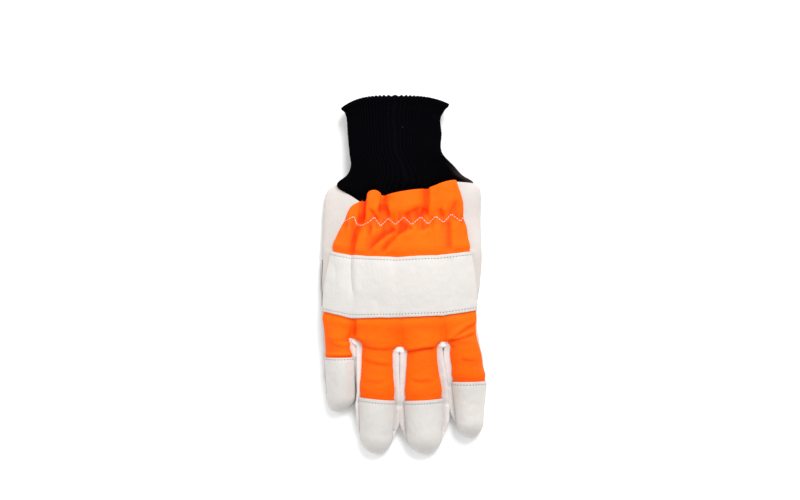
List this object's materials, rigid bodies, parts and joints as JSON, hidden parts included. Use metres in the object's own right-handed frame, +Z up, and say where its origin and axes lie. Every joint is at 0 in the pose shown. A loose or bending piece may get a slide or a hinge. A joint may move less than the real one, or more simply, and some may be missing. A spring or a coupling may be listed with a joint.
{
  "type": "protective glove",
  "caption": "Right-hand leather and fabric work glove with a pleated fabric back, leather knuckle band and fingertips, palm patch and rib knit cuff, lying palm down with its thumb tucked under.",
  "frame": {"origin": "on the surface that the glove lies on, under the middle of its box", "axes": "+X to the thumb side, +Y from the fingertips to the cuff, +Z up out of the glove's back"},
  "size_m": [0.1333, 0.2887, 0.0379],
  "materials": {
    "fabric": "bright orange plain weave",
    "leather": "off-white grain leather, matt",
    "knit": "black rib knit"
  },
  "bodies": {
    "root": {"back_fabric": "fabric", "knuckle_band": "leather", "fingertip_cap_little": "leather", "fingertip_cap_ring": "leather", "fingertip_cap_middle": "leather", "fingertip_cap_index": "leather", "fourchette_little_ring": "leather", "fourchette_ring_middle": "leather", "fourchette_middle_index": "leather", "palm_leather": "leather", "palm_patch": "leather", "thumb": "leather", "knit_cuff": "knit"}
  },
  "joints": []
}
